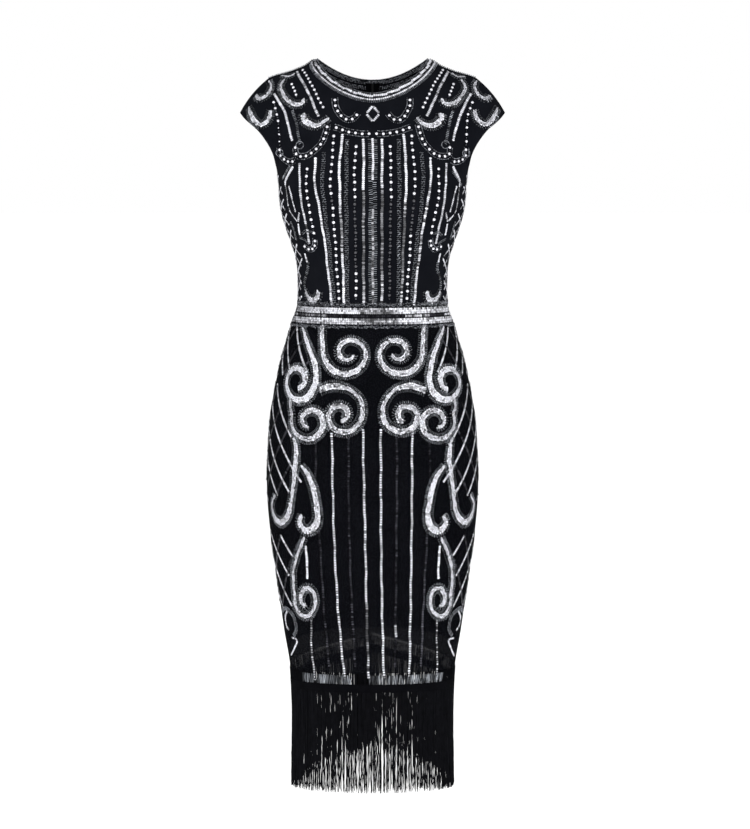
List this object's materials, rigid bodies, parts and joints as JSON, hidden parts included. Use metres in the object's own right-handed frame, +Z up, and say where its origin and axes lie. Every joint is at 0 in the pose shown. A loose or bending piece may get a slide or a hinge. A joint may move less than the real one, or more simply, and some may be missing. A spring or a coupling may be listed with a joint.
{
  "type": "flapper dress",
  "caption": "Fitted sheath dress with cap sleeves, round neck, inset beaded waistband, tapered skirt, fringed hem and back zip, worn shape with no wearer.",
  "frame": {"origin": "where the shoulders hold the dress: in its middle plane and in the plane of the shoulder and side seams, level with the neck ends of the shoulder seams", "axes": "+Z up, front of the dress towards -Y, wearer's left towards +X"},
  "size_m": [0.4258, 0.2593, 1.1706],
  "materials": {
    "beaded_mesh": "black mesh, sequinned and beaded",
    "silver_beading": "silver sequins and gunmetal beads on black",
    "lining": "smooth black jersey",
    "fringe": "lustrous black rayon",
    "zip_tape": "matt black",
    "zip_metal": "gloss black"
  },
  "bodies": {
    "dress": {"bodice_front": "beaded_mesh", "bodice_back_left": "beaded_mesh", "bodice_back_right": "beaded_mesh", "sleeve_left": "beaded_mesh", "sleeve_right": "beaded_mesh", "waistband_front": "silver_beading", "waistband_back_left": "silver_beading", "waistband_back_right": "silver_beading", "skirt_front": "beaded_mesh", "skirt_back_left": "beaded_mesh", "skirt_back_right": "beaded_mesh", "lining_front": "lining", "lining_back": "lining", "fringe_tape_front": "fringe", "fringe_tape_back": "fringe", "fringe_front": "fringe", "fringe_back": "fringe", "zip_tape": "zip_tape", "zip_slider": "zip_metal"},
    "pull": {"zip_pull": "zip_metal"}
  },
  "joints": [
    {"name": "pull_swing", "type": "hinge", "parent": "dress", "child": "pull", "pos_m": [0, 0.05508, -0.0451], "axis": [1, 0, 0], "range_deg": [0, 150]}
  ]
}
